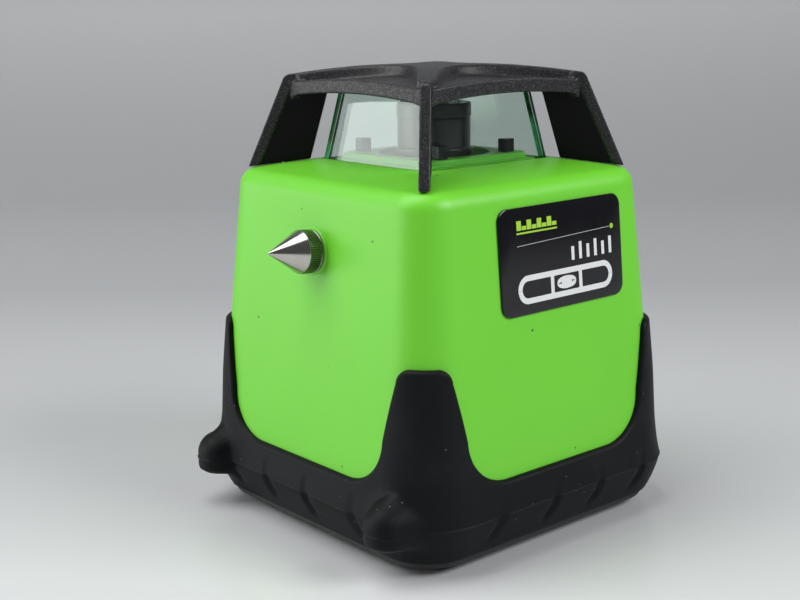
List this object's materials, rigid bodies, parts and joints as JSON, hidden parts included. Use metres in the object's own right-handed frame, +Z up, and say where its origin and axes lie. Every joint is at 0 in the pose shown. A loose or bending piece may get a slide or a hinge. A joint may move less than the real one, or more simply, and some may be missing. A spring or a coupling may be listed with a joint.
{
  "type": "rotating laser level",
  "caption": "Self-levelling rotating laser level: a spinning prism head behind leaning glass panes, a ribbed cage, a green case in a rubber boot and a cone foot for use on its side.",
  "frame": {"origin": "mouth of the tripod thread, on its axis, in the plane the feet stand on", "axes": "+Z up through the spinning head, -Y the badge side, -X the side with the cone foot, +X the control panel, +Y the battery door"},
  "size_m": [0.1693, 0.1594, 0.195],
  "materials": {
    "case_green": "fine satin grain",
    "boot_rubber": "matt, slightly dusty",
    "cover_plastic": "matt",
    "foot_rubber": "matt",
    "cage_plastic": "spark-eroded grain",
    "pane_glass": "polished, green edges",
    "seal_rubber": "matt",
    "receiver_plastic": "infrared-clear gloss",
    "badge_film": "domed gloss",
    "panel_film": "satin film",
    "button_rubber": "satin",
    "light_lens": "clear tinted",
    "board_green": "solder mask",
    "tray_plastic": "matt",
    "cell_wrap": "printed sleeve, plain",
    "spring_steel": "plated wire",
    "socket_plastic": "matt",
    "cap_rubber": "matt",
    "nickel": "nickel plate, fine turning marks",
    "brass": "turned",
    "steel": "turned",
    "bush_alloy": "turned",
    "cast_alloy": "bead blasted",
    "black_alloy": "black anodised",
    "motor_can": "drawn can",
    "belt_rubber": "matt",
    "pulley_plastic": "moulded",
    "optical_glass": "polished",
    "vial_glass": "filled vial",
    "head_plastic": "satin black"
  },
  "bodies": {
    "case": {"housing_shell": "case_green", "rubber_boot": "boot_rubber", "bottom_cover": "cover_plastic", "corner_feet": "foot_rubber", "tripod_bush": "bush_alloy", "case_screws": "steel", "top_cage": "cage_plastic", "cage_screws": "steel", "window_front": "pane_glass", "window_right": "pane_glass", "window_rear": "pane_glass", "window_left": "pane_glass", "window_seal": "seal_rubber", "remote_receivers": "receiver_plastic", "name_badge": "badge_film", "foot_insert": "brass", "control_panel": "panel_film", "panel_board": "board_green", "status_lights": "light_lens", "main_board": "board_green", "battery_tray": "tray_plastic", "battery_cells": "cell_wrap", "battery_springs": "spring_steel", "charge_socket": "socket_plastic", "door_hinge_pin": "steel", "gimbal_chassis": "cast_alloy", "level_motor_a": "motor_can", "level_motor_b": "motor_can"},
    "battery_door": {"battery_door": "case_green"},
    "door_screw": {"door_thumb_screw": "cover_plastic"},
    "socket_cap": {"socket_cap": "cap_rubber"},
    "foot_washer": {"foot_washer": "nickel"},
    "cone_foot": {"cone_foot": "nickel"},
    "power_button": {"power_button": "button_rubber"},
    "speed_button": {"speed_button": "button_rubber"},
    "scan_button": {"scan_button": "button_rubber"},
    "mode_button": {"mode_button": "button_rubber"},
    "up_button": {"up_button": "button_rubber"},
    "down_button": {"down_button": "button_rubber"},
    "gimbal": {"gimbal_ring": "cast_alloy", "gimbal_pins": "steel"},
    "level_plunger_a": {"level_plunger_a": "steel"},
    "level_plunger_b": {"level_plunger_b": "steel"},
    "laser_module": {"laser_barrel": "black_alloy", "laser_tube": "brass", "collimator_lens": "optical_glass", "spindle_bearings": "steel", "spin_motor": "motor_can", "drive_belt": "belt_rubber", "level_vials": "vial_glass"},
    "rotor": {"rotor_spindle": "cast_alloy", "rotor_pulley": "pulley_plastic", "rotor_head": "head_plastic", "rotor_cap": "head_plastic", "pentaprism": "optical_glass", "head_lens": "optical_glass"},
    "motor_pulley": {"motor_pulley": "brass"}
  },
  "joints": [
    {"name": "tilt_x", "type": "hinge", "parent": "case", "child": "gimbal", "pos_m": [0, 0, 0.115], "axis": [1, 0, 0], "range_deg": [-5, 5]},
    {"name": "tilt_y", "type": "hinge", "parent": "gimbal", "child": "laser_module", "pos_m": [0, 0, 0.115], "axis": [0, 1, 0], "range_deg": [-5, 5]},
    {"name": "head_spin", "type": "hinge", "parent": "laser_module", "child": "rotor", "pos_m": [0, 0, 0.115], "axis": [0, 0, 1], "continuous": true},
    {"name": "motor_spin", "type": "hinge", "parent": "laser_module", "child": "motor_pulley", "pos_m": [0.0191, 0.0191, 0.139], "axis": [0, 0, 1], "continuous": true},
    {"name": "plunger_a_lift", "type": "slide", "parent": "case", "child": "level_plunger_a", "axis": [0, 0, 1], "range_m": [-0.0036, 0.0036]},
    {"name": "plunger_b_lift", "type": "slide", "parent": "case", "child": "level_plunger_b", "axis": [0, 0, 1], "range_m": [-0.0036, 0.0036]},
    {"name": "door_hinge", "type": "hinge", "parent": "case", "child": "battery_door", "pos_m": [0, 0.0727, 0.04197], "axis": [-1, 0, 0], "range_deg": [0, 95]},
    {"name": "door_screw_turn", "type": "hinge", "parent": "battery_door", "child": "door_screw", "pos_m": [0, 0.06945, 0.0959], "axis": [0, 0.996, 0.0896], "range_deg": [0, 1080]},
    {"name": "cap_hinge", "type": "hinge", "parent": "case", "child": "socket_cap", "pos_m": [0, 0.07032, 0.11084], "axis": [-1, 0, 0], "range_deg": [0, 120]},
    {"name": "foot_slide", "type": "slide", "parent": "case", "child": "foot_washer", "axis": [-0.996, 0, 0.0896], "range_m": [0, 0.00625]},
    {"name": "foot_turn", "type": "hinge", "parent": "foot_washer", "child": "cone_foot", "pos_m": [-0.0671, 0, 0.122], "axis": [-0.996, 0, 0.0896], "range_deg": [0, 1800]},
    {"name": "power_press", "type": "slide", "parent": "case", "child": "power_button", "axis": [-0.996, 0, -0.0896], "range_m": [0, 0.0006], "stiffness_N_per_m": 300},
    {"name": "speed_press", "type": "slide", "parent": "case", "child": "speed_button", "axis": [-0.996, 0, -0.0896], "range_m": [0, 0.0006], "stiffness_N_per_m": 300},
    {"name": "scan_press", "type": "slide", "parent": "case", "child": "scan_button", "axis": [-0.996, 0, -0.0896], "range_m": [0, 0.0006], "stiffness_N_per_m": 300},
    {"name": "mode_press", "type": "slide", "parent": "case", "child": "mode_button", "axis": [-0.996, 0, -0.0896], "range_m": [0, 0.0006], "stiffness_N_per_m": 300},
    {"name": "up_press", "type": "slide", "parent": "case", "child": "up_button", "axis": [-0.996, 0, -0.0896], "range_m": [0, 0.0006], "stiffness_N_per_m": 300},
    {"name": "down_press", "type": "slide", "parent": "case", "child": "down_button", "axis": [-0.996, 0, -0.0896], "range_m": [0, 0.0006], "stiffness_N_per_m": 300}
  ],
  "couplings": [
    {"joint": "motor_spin", "follows": "head_spin", "ratio": 2.8889},
    {"joint": "plunger_a_lift", "follows": "tilt_y", "m_per_rad": 0.04},
    {"joint": "plunger_b_lift", "follows": "tilt_x", "m_per_rad": -0.04},
    {"joint": "foot_turn", "follows": "foot_slide", "rad_per_m": 5026.5}
  ]
}
